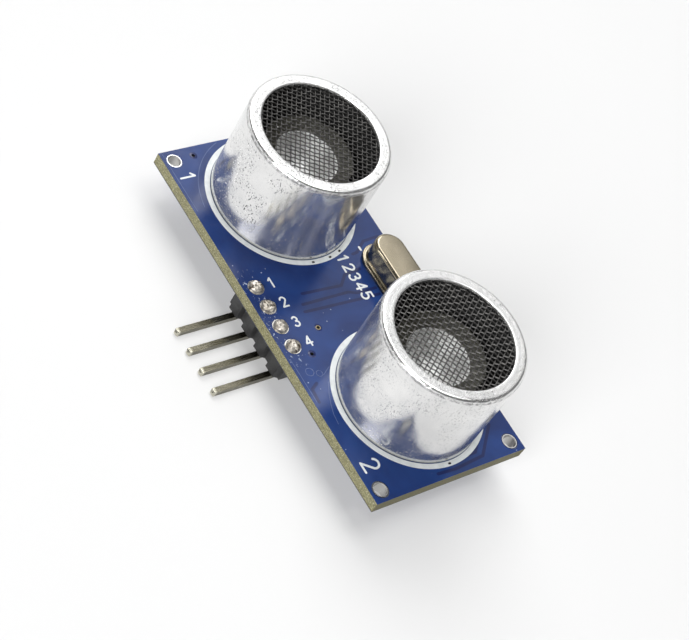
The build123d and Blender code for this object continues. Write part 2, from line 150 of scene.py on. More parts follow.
# Header solder
blob_radius = 0.81
blob_height = 0.53
blob_dent = 0.13
blob_dent_place = (0.1, -0.15)
blob_dent_spread = 0.045
blob_flatness = 0.8
blob_rows = 18
blob_turns = 40

# Print
print_height = 0.02
layer_step = 0.003
figure_step = 0.92
ring_middle = 0.36
nick_width = 0.24
nick_height = 0.026

# Copper under the film
gap_width = 0.36
gap_height = 0.004
ridge_width = 0.09
ridge_height = 0.02
ridge_round = 0.05
ridge_turns = 40
trace_ring = 1.35
edge_trace_y = board_low.y + 0.37

# Vias
via_bore = 0.2
via_rim = 0.27
via_cover = 0.45
via_film = 0.012
via_film_slope = 0.02
via_edge_inset = 1.2
via_turns = 32


# Materials: textures are laid out in millimetres of the object
class Finish:
    def __init__(self, name, colour, roughness, metallic=0.0, **sockets):
        self.material = bpy.data.materials.new(name)
        self.material.use_nodes = True
        self.nodes = self.material.node_tree.nodes
        self.links = self.material.node_tree.links
        self.shader = self.nodes["Principled BSDF"]
        self.shader.inputs["Base Color"].default_value = (*colour, 1.0)
        self.shader.inputs["Roughness"].default_value = roughness
        self.shader.inputs["Metallic"].default_value = metallic
        for socket, value in sockets.items():
            self.shader.inputs[socket.replace("_", " ")].default_value = value
        place = self.nodes.new("ShaderNodeTexCoord")
        self.place = self.scaled(place.outputs["Object"], 1 / MM, 1 / MM, 1 / MM)
        self.normal = None

    def scaled(self, vector, x, y, z):
        node = self.nodes.new("ShaderNodeMapping")
        node.inputs["Scale"].default_value = (x, y, z)
        self.links.new(vector, node.inputs["Vector"])
        return node.outputs["Vector"]

    def noise(self, scale, detail=3.0, stretch=(1, 1, 1), roughness=0.5, distortion=0.0):
        node = self.nodes.new("ShaderNodeTexNoise")
        node.inputs["Scale"].default_value = scale
        node.inputs["Detail"].default_value = detail
        node.inputs["Roughness"].default_value = roughness
        node.inputs["Distortion"].default_value = distortion
        self.links.new(self.scaled(self.place, *stretch), node.inputs["Vector"])
        return node.outputs["Fac"]

    def cells(self, scale):
        node = self.nodes.new("ShaderNodeTexVoronoi")
        node.inputs["Scale"].default_value = scale
        self.links.new(self.place, node.inputs["Vector"])
        return node.outputs["Distance"]

    def range(self, value, low, high, out_low=0.0, out_high=1.0):
        node = self.nodes.new("ShaderNodeMapRange")
        for socket, number in zip(
            ("From Min", "From Max", "To Min", "To Max"), (low, high, out_low, out_high)
        ):
            node.inputs[socket].default_value = number
        self.links.new(value, node.inputs["Value"])
        return node.outputs["Result"]

    def maths(self, operation, first, second=0.0):
        """The second value is left unused by operations on one value."""
        node = self.nodes.new("ShaderNodeMath")
        node.operation = operation
        for socket, value in zip(node.inputs, (first, second)):
            if isinstance(value, (int, float)):
                socket.default_value = value
            else:
                self.links.new(value, socket)
        return node.outputs["Value"]

    def axis(self, letter):
        node = self.nodes.new("ShaderNodeSeparateXYZ")
        self.links.new(self.place, node.inputs["Vector"])
        return node.outputs[letter]

    def distance(self, first, second):
        """Length of a flat vector with these two parts."""
        squares = [self.maths("MULTIPLY", part, part) for part in (first, second)]
        return self.maths("SQRT", self.maths("ADD", *squares))

    def mix(self, mask, first, second):
        node = self.nodes.new("ShaderNodeMix")
        node.data_type = "RGBA"
        self.links.new(mask, node.inputs["Factor"])
        for socket, colour in ((node.inputs[6], first), (node.inputs[7], second)):
            if isinstance(colour, tuple):
                socket.default_value = (*colour, 1.0)
            else:
                self.links.new(colour, socket)
        return node.outputs[2]

    def colour(self, socket):
        self.links.new(socket, self.shader.inputs["Base Color"])

    def rough(self, socket):
        self.links.new(socket, self.shader.inputs["Roughness"])

    def bump(self, height, depth):
        """Depth is the height in millimetres of a full step of the texture."""
        node = self.nodes.new("ShaderNodeBump")
        node.inputs["Strength"].default_value = 1.0
        node.inputs["Distance"].default_value = depth * MM
        self.links.new(height, node.inputs["Height"])
        if self.normal is not None:
            self.links.new(self.normal, node.inputs["Normal"])
        self.normal = node.outputs["Normal"]
        self.links.new(self.normal, self.shader.inputs["Normal"])


def aluminium(name, edge_z, foot_z):
    """Drawn aluminium: faint clouds, pits in patches, rubbed patches with painted shade along the rolled
    edge, a nicked lip and painted shade at the foot.
    """
    bright, clouded = (0.83, 0.827, 0.82), (0.74, 0.74, 0.74)
    foot_painted_shade, rub_and_painted_shade = (0.34, 0.34, 0.32), (0.28, 0.28, 0.28)
    nick_shade, pit_shade = (0.10, 0.10, 0.10), (0.15, 0.145, 0.14)
    edge_full, edge_end = 0.08, 0.24
    lip_from, lip_to = edge_z + 0.30, edge_z + 0.34
    foot_full, foot_end = foot_z + 0.10, foot_z + 0.45
    flare_height, flare_depth = 4.5, 0.42
    made = Finish(name, (0.82, 0.82, 0.82), 0.2, 0.93)

    # The transmitter, on the negative side of X, has more pits
    handled = made.range(made.noise(0.30, 3.0), 0.40, 0.55)
    handled = made.maths("MULTIPLY", handled, made.range(made.axis("X"), -2.0, 2.0, 1.0, 0.45))
    specks = made.range(made.noise(6.5, 3.0, stretch=(1, 1, 0.6), roughness=0.6), 0.595, 0.64)
    stray = made.range(made.noise(2.3, 3.0, roughness=0.55), 0.74, 0.77)
    pits = made.maths("MAXIMUM", made.maths("MULTIPLY", specks, handled), stray)

    # Along the rolled edge: rubbed patches, darkened also as painted shade that dims the edge's reflection
    from_edge = made.maths("ABSOLUTE", made.maths("SUBTRACT", made.axis("Z"), edge_z))
    on_edge = made.range(from_edge, edge_full, edge_end, 1.0, 0.0)
    edge_patches = made.range(made.noise(2.4, 6.0, roughness=0.7), 0.42, 0.60)
    rubbed_and_shaded = made.maths("MULTIPLY", on_edge, edge_patches)
    on_lip = made.range(made.axis("Z"), lip_from, lip_to)
    nicks = made.range(made.noise(5.5, 4.0, roughness=0.7), 0.605, 0.635)
    nicks = made.maths("MULTIPLY", nicks, made.range(made.noise(0.3), 0.36, 0.50))
    nicks = made.maths("MULTIPLY", on_lip, nicks)
    # Darker band just above the foot: painted shade where the can meets the board, which also dims the
    # printed ring's reflection in the wall
    foot = made.range(made.axis("Z"), foot_full, foot_end, 1.0, 0.0)
    flare = made.range(made.axis("Z"), foot_z, foot_z + flare_height, 1.0, 0.0)
    flare = made.maths("MULTIPLY", flare, flare)

    body = made.mix(made.range(made.noise(0.45, 4.0), 0.30, 0.70), clouded, bright)
    body = made.mix(foot, body, foot_painted_shade)
    body = made.mix(rubbed_and_shaded, body, rub_and_painted_shade)
    body = made.mix(nicks, body, nick_shade)
    made.colour(made.mix(pits, body, pit_shade))
    made.rough(made.range(made.noise(0.8, 4.0), 0.3, 0.7, 0.13, 0.24))
    made.bump(made.noise(1.2, 2.0, stretch=(1, 1, 0.3)), 0.008)
    made.bump(made.noise(7.0, 5.0, roughness=0.6), 0.0025)
    made.bump(flare, flare_depth)
    made.bump(made.maths("MULTIPLY", on_lip, made.noise(5.5, 5.0, roughness=0.7)), 0.009)
    made.bump(rubbed_and_shaded, -0.025)
    made.bump(pits, -0.03)
    return made


def tin(name, colour=(0.80, 0.79, 0.76), roughness=(0.22, 0.42), grain=6.0, depth=0.006):
    """Tinned or bare metal with soft stains and a fine grain."""
    made = Finish(name, colour, 0.3, 1.0)
    darker = tuple(value * 0.72 for value in colour)
    made.colour(made.mix(made.range(made.noise(grain / 2, 6.0), 0.35, 0.7), colour, darker))
    made.rough(made.range(made.noise(grain, 4.0), 0.3, 0.7, *roughness))
    made.bump(made.noise(grain, 4.0), depth)
    return made


def plastic(name, colour, roughness, grain=14.0, depth=0.004, spread=0.6):
    """Moulded plastic or ceramic; spread is how much lighter its clouds are."""
    made = Finish(name, colour, roughness)
    lighter = tuple(min(1.0, value * (1 + spread)) for value in colour)
    made.colour(made.mix(made.range(made.noise(1.1, 5.0), 0.35, 0.7), colour, lighter))
    made.rough(made.range(made.noise(3.0, 4.0), 0.3, 0.7, roughness - 0.08, roughness + 0.12))
    made.bump(made.noise(grain, 3.0), depth)
    return made


def mask_blue(name, deep, light):
    """Blue film over copper: soft clouds, dust, flux beside the header and a wavy skin."""
    dust_shade = (0.42, 0.50, 0.66)
    flux_from, flux_full = board_low.y + 2.55, board_low.y + 1.25
    header_half, flux_end = 5.5, 6.5
    made = Finish(name, deep, 0.3, Specular_IOR_Level=0.36)
    clouds = made.range(made.noise(0.16, 5.0, distortion=0.6), 0.38, 0.66)
    dust = made.range(made.cells(0.9), 0.035, 0.075, 1.0, 0.0)
    dust = made.maths("MULTIPLY", dust, made.range(made.noise(0.5, 1.0), 0.50, 0.56))
    beside_edge = made.range(made.axis("Y"), flux_from, flux_full)
    from_middle = made.maths("ABSOLUTE", made.axis("X"))
    beside_header = made.range(from_middle, header_half, flux_end, 1.0, 0.0)
    flux = made.range(made.noise(2.6, 5.0, roughness=0.62), 0.60, 0.68)
    flux = made.maths("MULTIPLY", flux, made.maths("MULTIPLY", beside_edge, beside_header))
    dirt = made.maths("MAXIMUM", dust, flux)
    made.colour(made.mix(dirt, made.mix(clouds, deep, light), dust_shade))
    made.rough(made.range(made.noise(0.7, 4.0), 0.3, 0.7, 0.14, 0.26))
    made.bump(made.noise(0.8, 2.0), 0.010)
    made.bump(made.noise(7.0, 3.0), 0.0016)
    made.bump(dirt, 0.03)
    return made


def laminate_edge(name):
    """Glass fibre laminate: layers along the edge, light and dark fibres, painted shade on the end at
    positive X and a dark brown band along the bottom of the edge.
    """
    end_from, end_full = board_high.x - 0.06, board_high.x - 0.02
    underside_from, underside_full = mask_bottom + 0.18, mask_bottom + 0.10
    made = Finish(name, (0.30, 0.29, 0.14), 0.6)
    layers = made.noise(1.0, 6.0, stretch=(1.6, 1.6, 9.0), roughness=0.65)
    fibres = made.noise(1.0, 4.0, stretch=(6.0, 6.0, 11.0), roughness=0.6)
    weft = made.mix(made.range(layers, 0.38, 0.62), (0.11, 0.10, 0.042), (0.28, 0.262, 0.125))
    weft = made.mix(made.range(fibres, 0.55, 0.63), weft, (0.50, 0.50, 0.36))
    weft = made.mix(made.range(fibres, 0.44, 0.37), weft, (0.11, 0.10, 0.05))
    # The end face at positive X is darkened: painted shade
    end_shade = made.range(made.axis("X"), end_from, end_full, 0.0, 0.85)
    weft = made.mix(end_shade, weft, (0.10, 0.09, 0.03))
    underside = made.range(made.axis("Z"), underside_from, underside_full)
    made.colour(made.mix(underside, weft, (0.09, 0.08, 0.05)))
    made.bump(layers, 0.05)
    made.bump(fibres, 0.04)
    return made


def white_ink(name):
    made = Finish(name, (0.90, 0.92, 0.92), 0.5)
    wear = made.range(made.noise(1.6, 5.0), 0.35, 0.7)
    made.colour(made.mix(wear, (0.67, 0.695, 0.70), (0.57, 0.60, 0.605)))
    made.bump(made.noise(12.0, 3.0), 0.003)
    return made


def plated_hole(name, covered):
    """Bore painted darker grey as shade inside the hole, with rims in the plating's bright colour; where
    covered, the film hides the outer part of each rim.
    """
    bore, rim, film = (0.50, 0.495, 0.48), (0.80, 0.79, 0.77), (0.02, 0.045, 0.15)
    rim_from, rim_full, film_edge = 0.10, 0.04, 0.02
    made = tin(name, (0.50, 0.49, 0.47), (0.16, 0.28), 3.0, 0.004)
    middle, half = (mask_top + mask_bottom) / 2, (mask_top - mask_bottom) / 2
    level = made.maths("ABSOLUTE", made.maths("SUBTRACT", made.axis("Z"), middle))
    # The bore is darker than the rims: painted shade inside the hole
    plated = made.mix(made.range(level, half - rim_from, half - rim_full), bore, rim)
    if covered:
        from_hole = [
            made.maths("SUBTRACT", made.maths("ABSOLUTE", made.axis(letter)), place)
            for letter, place in (("X", hole_x), ("Y", hole_y))
        ]
        under_film = made.range(made.distance(*from_hole), hole_bare, hole_bare + film_edge)
        plated = made.mix(under_film, plated, film)
    made.colour(plated)
    return made


def solder_metal(name):
    """Solder with dull patches and dark creases."""
    made = tin(name, (0.80, 0.75, 0.68), (0.34, 0.48), 2.2, 0.012)
    creases = made.range(made.noise(1.9, 3.0, distortion=0.8), 0.60, 0.66)
    patches = made.range(made.noise(1.2, 3.0), 0.4, 0.65)
    body = made.mix(patches, (0.47, 0.44, 0.39), (0.33, 0.30, 0.255))
    made.colour(made.mix(creases, body, (0.12, 0.10, 0.08)))
    made.bump(creases, -0.05)
    return made


def pin_metal(name):
    """Drawn along Y: streaks, and a painted highlight at the cut end."""
    tip_from, tip_full = pin_end_y + 0.55, pin_end_y + 0.25
    made = Finish(name, (0.26, 0.24, 0.18), 0.32, 1.0)
    streaks = made.noise(1.0, 6.0, stretch=(7.0, 0.7, 7.0))
    body = made.mix(made.range(streaks, 0.35, 0.7), (0.225, 0.212, 0.162), (0.095, 0.088, 0.064))
    # Lighter towards the end of the pin: a painted highlight
    tip_highlight = made.range(made.axis("Y"), tip_from, tip_full)
    made.colour(made.mix(tip_highlight, body, (0.60, 0.58, 0.48)))
    made.rough(made.range(streaks, 0.3, 0.7, 0.18, 0.40))
    made.bump(streaks, 0.02)
    return made


def crystal_nickel(name):
    made = Finish(name, (0.36, 0.315, 0.235), 0.2, 1.0)
    stains = made.range(made.noise(0.5, 5.0), 0.35, 0.7)
    made.colour(made.mix(stains, (0.345, 0.305, 0.23), (0.295, 0.26, 0.192)))
    made.rough(made.range(made.noise(1.2, 5.0), 0.3, 0.7, 0.15, 0.24))
    made.bump(made.noise(10.0, 4.0), 0.002)
    return made


def screen_wire(name):
    """Dark coated wire, worn to bright metal in places."""
    made = Finish(name, (0.06, 0.058, 0.056), 0.30, 0.6)
    worn = made.range(made.noise(1.9, 6.0, roughness=0.7), 0.69, 0.72)
    stains = made.range(made.noise(0.6, 3.0), 0.35, 0.65)
    coat = made.mix(stains, (0.050, 0.048, 0.047), (0.085, 0.082, 0.078))
    made.colour(made.mix(worn, coat, (0.80, 0.79, 0.77)))
    made.bump(made.noise(9.0, 3.0), 0.006)
    return made


finishes = {
    "can": aluminium("can_aluminium", cans["receiver"]["top"] - can_roll * 0.95, mask_top),
    "blue": mask_blue("blue_mask", (0.009, 0.025, 0.110), (0.013, 0.042, 0.172)),
    "gap": mask_blue("blue_mask_gap", (0.008, 0.015, 0.066), (0.011, 0.020, 0.090)),
    # Lighter blue: a painted highlight on raised edges
    "ridge": mask_blue("blue_mask_ridge_highlight", (0.045, 0.075, 0.19), (0.075, 0.110, 0.25)),
    "laminate": laminate_edge("laminate_edge"),
    "ink": white_ink("white_ink"),
    "tin": tin("tinned_copper"),
    "plating": plated_hole("plated_hole", False),
    "mounting plating": plated_hole("plated_mounting_hole", True),
    "solder": solder_metal("solder_metal"),
    "header": plastic("header_plastic", (0.018, 0.018, 0.0185), 0.42),
    "pin": pin_metal("pin_metal"),
    "crystal": crystal_nickel("crystal_nickel"),
    "wire": screen_wire("screen_wire"),
    "cone": tin("cone_aluminium", (0.99, 0.99, 0.98), (0.60, 0.66), 2.5),
    "cone rim": plastic("cone_rim_olive", (0.034, 0.032, 0.022), 0.5, 6.0),
    "base": plastic("base_plastic", (0.010, 0.010, 0.011), 0.55),
    # The can's inside is aluminium, painted near black as shade
    "inside shade": plastic("can_inside", (0.030, 0.030, 0.030), 0.6),
    "glue": plastic("soft_glue", (0.30, 0.30, 0.29), 0.5),
    "plate": tin("plate_metal", (0.70, 0.70, 0.70)),
    "piezo": tin("piezo_silver", (0.62, 0.60, 0.56)),
    "terminal": tin("terminal_tin", (0.72, 0.71, 0.69)),
    "copper": tin("copper_wire", (0.62, 0.30, 0.16)),
    "gold": tin("via_gold", (0.44, 0.36, 0.20)),
    "chip": plastic("chip_plastic", (0.018, 0.018, 0.019), 0.5, 18.0, 0.006),
    "lead": tin("chip_lead_tin", (0.76, 0.75, 0.72)),
    "resistor": plastic("resistor_glaze", (0.012, 0.012, 0.014), 0.25),
    "capacitor": plastic("capacitor_ceramic", (0.36, 0.24, 0.13), 0.45, spread=0.25),
    # Near black painted shade for holes and pits
    "hole": plastic("hole_painted_shade", (0.004, 0.004, 0.005), 0.7),
}


# Mesh building, in millimetres
class Shape:
    """Vertices and faces of one piece, with a material number for each face."""

    def __init__(self):
        self.verts = []
        self.faces = []
        self.kinds = []

    def add(self, verts, faces, kinds=None):
        start = len(self.verts)
        self.verts += verts
        self.faces += [[start + index for index in face] for face in faces]
        self.kinds += kinds or [0] * len(faces)

    def piece(self, name, materials, replaces=(), sharp=35.0):
        mesh = bpy.data.meshes.new(name)
        mesh.from_pydata([Vector(v) * MM for v in self.verts], [], self.faces)
        for key in materials:
            mesh.materials.append(finishes[key].material)
        mesh.polygons.foreach_set("material_index", self.kinds)
        work = bmesh.new()
        work.from_mesh(mesh)
        bmesh.ops.remove_doubles(work, verts=work.verts, dist=1e-7)
        bmesh.ops.recalc_face_normals(work, faces=work.faces)
        work.to_mesh(mesh)
        work.free()
        mesh.polygons.foreach_set("use_smooth", [True] * len(mesh.polygons))
        mesh.set_sharp_from_angle(angle=math.radians(sharp))
        made = bpy.data.objects.new(name, mesh)
        bpy.context.scene.collection.objects.link(made)
        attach(made, ROOT)
        if replaces:
            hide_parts(*replaces)


def arc(x, y, radius, start, end, steps):
    """Points of an arc, in degrees."""
    angles = [math.radians(start + (end - start) * i / steps) for i in range(steps + 1)]
    return [(x + radius * math.cos(a), y + radius * math.sin(a)) for a in angles]


def ripple(place, layers, seed=Vector()):
    """Sum of noise layers, each a pair of frequency and height."""
    return sum(noise.noise(place * frequency + seed) * height for frequency, height in layers)


def lathe(shape, x, y, profile, steps, closed=True, kind=None, shift=None):
    """Turns a profile of (radius, height) points round a vertical axis.

    Kind gives a face's material number from its middle; shift moves the points.
    """
    count = len(profile)
    verts = []
    for j in range(steps):
        angle = 2 * math.pi * j / steps
        for radius, z in profile:
            if shift:
                radius, z = shift(radius, z, angle)
            verts.append((x + radius * math.cos(angle), y + radius * math.sin(angle), z))
    faces, kinds = [], []
    for near in range(count if closed else count - 1):
        far = (near + 1) % count
        for j in range(steps):
            a, b = j * count, ((j + 1) % steps) * count
            faces.append([a + near, b + near, b + far, a + far])
        middle = [(p + q) / 2 for p, q in zip(profile[near], profile[far])]
        kinds += [kind(*middle) if kind else 0] * steps
    shape.add(verts, faces, kinds)


def stack(shape, rings):
    """Skins a pile of rings with the same number of points, closed at both ends."""
    size = len(rings[0])
    verts = [point for ring in rings for point in ring]
    faces = [list(range(size)), [(len(rings) - 1) * size + i for i in range(size)]]
    for level in range(len(rings) - 1):
        lower, upper = level * size, (level + 1) * size
        for i in range(size):
            j = (i + 1) % size
            faces.append([lower + i, lower + j, upper + j, upper + i])
    shape.add(verts, faces)


def strip(shape, points, width, height):
    """A flat band of constant width along a line on the board, closed all round, with round ends."""
    widest_mitre = 0.6
    cap_steps = 8
    line = [Vector(point) for point in points]
    ways = [(far - near).normalized() for near, far in zip(line, line[1:])]
    left, right = [], []
    for i, here in enumerate(line):
        before, after = ways[max(i - 1, 0)], ways[min(i, len(ways) - 1)]
        across = (before + after).normalized()
        across = Vector((-across.y, across.x))
        spread = width / 2 / max(widest_mitre, across.dot(Vector((-after.y, after.x))))
        left.append(here + across * spread)
        right.append(here - across * spread)
    caps = []
    for end, way in ((line[-1], ways[-1]), (line[0], -ways[0])):
        turn = math.degrees(math.atan2(way.y, way.x))
        bow = arc(end.x, end.y, width / 2, turn - 90, turn + 90, cap_steps)
        caps.append([Vector(point) for point in bow[1:-1]])

    # The outline runs along the right side, round the far cap, back along the left and round the near cap
    outline = right + caps[0] + left[::-1] + caps[1]
    size, count = len(outline), len(line)
    verts = [(*point, mask_top - sink) for point in outline]
    verts += [(*point, mask_top + height) for point in outline]
    left_start = count + len(caps[0])
    left_end = left_start + count - 1
    tops = [[i, i + 1, left_end - 1 - i, left_end - i] for i in range(count - 1)]
    tops.append(list(range(count - 1, left_start + 1)))
    tops.append([*range(left_end, size), 0])
    faces = [[size + index for index in face] for face in tops] + [face[::-1] for face in tops]
    faces += [[i, (i + 1) % size, size + (i + 1) % size, size + i] for i in range(size)]
    shape.add(verts, faces)


# Cans: drawn cups with a rolled front edge, slightly dented
can_waves = ((0.28, 0.025), (0.9, 0.006))
edge_nicks = ((2.6, 0.5), (6.0, 0.5))
edge_nick_depth = 0.09
lip_waves = ((1.1, 0.012),)
can_seeds = {"transmitter": 0.0, "receiver": 40.0}


def can_profile(radius, top):
    rise = (top - can_roll - mask_top - can_crimp) / can_rows
    outer = arc(radius - can_crimp, mask_top + can_crimp, can_crimp, -90, 0, 3)
    outer += [(radius, mask_top + can_crimp + rise * i) for i in range(1, can_rows)]
    outer += arc(radius - can_roll, top - can_roll, can_roll, 0, 90, 12)
    lip_end = can_opening + lip_round
    lip = [
        (radius - can_roll - lip_flat_inset, top - lip_hollow / 2),
        (lip_end + lip_flat_inset, top - lip_hollow),
    ]
    edge = arc(lip_end, top - lip_hollow - lip_round, lip_round, 90, 180, 5)
    inner = [
        (can_opening, top - can_wall), (radius - can_wall, top - can_wall),
        (radius - can_wall, mask_top + can_inner_foot), (radius - can_wall, mask_top),
    ]
    return outer + lip + edge + inner


def can_shift(seed, radius, top):
    """Small dents: long waves on the wall, nicks along the rolled edge."""
    roll_z, roll_reach = top - can_roll * 0.55, can_roll * 0.8

    def shift(r, z, angle):
        place = Vector((math.cos(angle) * radius, math.sin(angle) * radius, z + seed))
        if r > radius - can_roll - 0.05:
            on_roll = max(0.0, 1 - abs(z - roll_z) / roll_reach)
            nick = on_roll * max(0.0, ripple(place, edge_nicks)) * edge_nick_depth
            return r - abs(ripple(place, can_waves)) - nick, z
        if z > top - 0.2:
            return r, z - abs(ripple(place, lip_waves))
        return r, z
    return shift


def can_inside(radius, top):
    """Material number of a can's face: 1 for the inside, painted dark as shade, 0 for the rest."""
    wall_radius = radius - can_wall + 0.02
    ceiling = top - can_wall + 0.01
    return lambda r, z: 1 if r < wall_radius and z < ceiling else 0


for side, can in cans.items():
    sizes = can["radius"], can["top"]
    shape = Shape()
    lathe(
        shape, can["x"], can["y"], can_profile(*sizes), can_steps,
        kind=can_inside(*sizes), shift=can_shift(can_seeds[side], *sizes),
    )
    shape.piece(f"{side}_can_shell", ["can", "inside shade"], [f"{side}_can"], 50.0)


# Woven wire screens
def weave(shape, x, y, z, turn):
    """Two families of wires that pass over and under one another."""
    count = int(wire_reach / wire_pitch)
    lift = wire_radius * wire_lift
    c, s = math.cos(math.radians(turn)), math.sin(math.radians(turn))
    step = wire_pitch / wire_steps
    for family in (0, 1):
        for row in range(-count, count + 1):
            offset = row * wire_pitch
            samples = int(math.sqrt(wire_reach ** 2 - offset ** 2) / step)
            sway_seed = Vector((row * 0.7, family * 9.0, turn))
            sway = noise.noise(sway_seed) * wire_sway
            rings = []
            for k in range(-samples, samples + 1):
                along = k * step
                wander_seed = Vector((along * 0.35, row * 1.7, turn + family))
                wander = noise.noise(wander_seed) * wire_wander
                rise = lift * math.cos(math.pi * (along / wire_pitch + row))
                ring = []
                for across, up in arc(0, 0, wire_radius, 0, 360, wire_sides)[:-1]:
                    across += offset + wander + sway
                    u, v = (along, across) if family == 0 else (across, along)
                    up += z + (rise if family == 0 else -rise)
                    ring.append((x + u * c - v * s, y + u * s + v * c, up))
                rings.append(ring)
            stack(shape, rings)


for side, can in cans.items():
    level = can["top"] - can_wall - screen_depth * wire_radius
    rim_low, rim_high = level - screen_rim_below, level + screen_rim_above
    rim = [
        (screen_rim_inner, rim_low), (screen_rim_outer, rim_low),
        (screen_rim_outer, rim_high), (screen_rim_inner, rim_high),
    ]
    shape = Shape()
    weave(shape, can["x"], can["y"], level, screen_turn[side])
    lathe(shape, can["x"], can["y"], rim, screen_rim_turns)
    shape.piece(f"{side}_woven_screen", ["wire"], [f"{side}_screen"], 60.0)


# Cones: a curved funnel with a dull flat rim
def cone_profile(low_z, high_z, rim):
    floor_z, shoulder_z = low_z + cone_floor, high_z - cone_rim_rise
    inner = [(0.0, floor_z)]
    for i in range(cone_steps + 1):
        share = i / cone_steps
        radius = cone_foot + (cone_shoulder - cone_foot) * share ** cone_curve
        inner.append((radius, floor_z + (shoulder_z - floor_z) * share))
    inner += [(cone_shoulder + cone_lip, shoulder_z + cone_lip_rise), (rim, high_z)]
    outer = [(radius, z - cone_wall) for radius, z in inner[:0:-1]]
    return inner + outer + [(0.0, low_z)]


for side, can in cans.items():
    low, high = box_mm(f"{side}_cone")
    shape = Shape()
    lathe(
        shape, can["x"], can["y"], cone_profile(low.z, high.z, (high.x - low.x) / 2), cone_turns,
        kind=lambda radius, z: 1 if radius > cone_shoulder + cone_lip / 2 else 0,
    )
    shape.piece(f"{side}_spun_cone", ["cone", "cone rim"], [f"{side}_cone"])


# Crystal: a drawn lid on a flanged foot
def slot_ring(middle, length, width, z):
    """A ring of points round a slot with round ends."""
    radius, half = width / 2, (length - width) / 2
    right_end = arc(middle.x + half, middle.y, radius, -90, 90, slot_end_steps)
    left_end = arc(middle.x - half, middle.y, radius, 90, 270, slot_end_steps)
    return [(x, y, z) for x, y in right_end + left_end]


def top_edge_rings(middle, length, width, top, bend, steps):
    """Rings of a rounded top edge, from the wall up to the flat."""
    rings = []
    for across, up in arc(0, 0, 1, 180, 90, steps):
        inset = 2 * bend * (1 + across)
        rings.append(slot_ring(middle, length - inset, width - inset, top - bend + bend * up))
    return rings


def foot_rings(middle, length, width, level, bend, steps):
    """Rings of a hollow corner, from the flat up to the wall."""
    rings = []
    for across, up in arc(0, 0, 1, 270, 180, steps):
        outset = 2 * bend * (1 + across)
        rings.append(slot_ring(middle, length + outset, width + outset, level + bend * (1 + up)))
    return rings


low, high = box_mm("crystal_can")
middle = (low + high) / 2
flange_length, flange_width = high.x - low.x, high.y - low.y
flange_top = low.z + flange_thickness
slope = 2 * flange_chamfer
rings = [
    slot_ring(middle, flange_length - slope, flange_width - slope, low.z),
    slot_ring(middle, flange_length, flange_width, low.z + flange_chamfer),
]
rings += top_edge_rings(middle, flange_length, flange_width, flange_top, flange_round, 5)
rings += foot_rings(middle, lid_length, lid_width, flange_top, lid_foot_round, 4)
rings += top_edge_rings(middle, lid_length, lid_width, high.z, lid_edge_round, 8)
shape = Shape()
stack(shape, rings)
shape.piece("crystal_shell", ["crystal"], ["crystal_can"], 40.0)


# Header solder: lumpy blobs with a hollow where the pin ends
blob_lumps = ((1.3, 0.12), (3.4, 0.055))


def blob_ring(x, y, polar, seed):
    """One ring of a blob; polar is its angle above the board."""
    dent_x, dent_y = blob_dent_place
    ring = []
    for j in range(blob_turns):
        angle = 2 * math.pi * j / blob_turns
        way = Vector((
            math.cos(angle) * math.cos(polar), math.sin(angle) * math.cos(polar), math.sin(polar),
        ))
        lump = ripple(way, blob_lumps, seed)
        reach = blob_radius * (1 + lump * 1.2 * math.sin(polar + 0.3))
        lift = blob_height * (1 + lump * 2.0) * way.z ** blob_flatness
        from_dent = (way.x - dent_x) ** 2 + (way.y - dent_y) ** 2
        dent = blob_dent * math.exp(-from_dent / blob_dent_spread)
        z = mask_top + max(0.0, lift - dent * way.z)
        ring.append((x + way.x * reach, y + way.y * reach, z))
    return ring


shape = Shape()
for index, (x, y) in enumerate(pin_places):
    seed = Vector((index * 7.3, 2.0, 5.0))
    polars = [math.pi / 2 * i / (blob_rows - 1) for i in range(blob_rows)]
    stack(shape, [blob_ring(x, y, polar, seed) for polar in polars])
shape.piece("header_solder_blobs", ["solder"], ["header_solder"], 80.0)


# White print: plain numbers, whose strokes are drawn for a height of 1
DIGITS = {
    "1": [[(0.32, 1.0), (0.32, 0.0)], [(0.10, 0.78), (0.30, 0.98)]],
    "2": [[(0.04, 0.0), (0.60, 0.0)], arc(0.30, 0.72, 0.27, 165, -30, 10) + [(0.07, 0.03)]],
    "3": [arc(0.28, 0.75, 0.24, 150, -85, 10), arc(0.28, 0.27, 0.28, 85, -150, 12)],
    "4": [[(0.46, 0.0), (0.46, 1.0)], [(0.43, 0.97), (0.04, 0.34)], [(0.03, 0.30), (0.64, 0.30)]],
    "5": [[(0.54, 1.0), (0.12, 1.0)], [(0.11, 0.97), (0.09, 0.56)], arc(0.28, 0.32, 0.31, 128, -145, 12)],
}


def write_number(shape, text, x, y, height, turn, width):
    """Stroked figures whose lower left corner is at x, y; strokes that cross differ in height."""
    c, s = math.cos(math.radians(turn)), math.sin(math.radians(turn))
    pen = 0.0
    for figure in text:
        for layer, stroke in enumerate(DIGITS[figure]):
            points = [((pen + u) * height, v * height) for u, v in stroke]
            line = [(x + u * c - v * s, y + u * s + v * c) for u, v in points]
            strip(shape, line, width, print_height + layer_step * layer)
        pen += figure_step


shape = Shape()
for index, (x, y) in enumerate(pin_places):
    write_number(shape, str(index + 1), x + 0.5, y + 1.7, height=1.15, turn=90, width=0.19)
write_number(shape, "1", board_low.x + 3.1, board_low.y + 0.8, height=1.8, turn=0, width=0.22)
write_number(shape, "2", board_high.x - 4.7, board_low.y + 0.9, height=2.0, turn=0, width=0.24)
write_number(shape, "12345", -5.0, 2.75, height=1.35, turn=0, width=0.22)
strip(shape, [(-5.4, 6.2), (-5.05, 6.2)], 0.26, print_height)
shape.piece("board_numbers", ["ink"])

# Nicks in the printed rings, at these angles, drawn as dots in the painted shade of a hole
shape = Shape()
for side, turn in (("transmitter", 353), ("transmitter", 9), ("transmitter", 20), ("receiver", 358)):
    can = cans[side]
    nick = arc(can["x"], can["y"], can["radius"] + ring_middle, turn, turn + 1, 1)
    strip(shape, nick, nick_width, nick_height)
shape.piece("print_nicks", ["hole"])


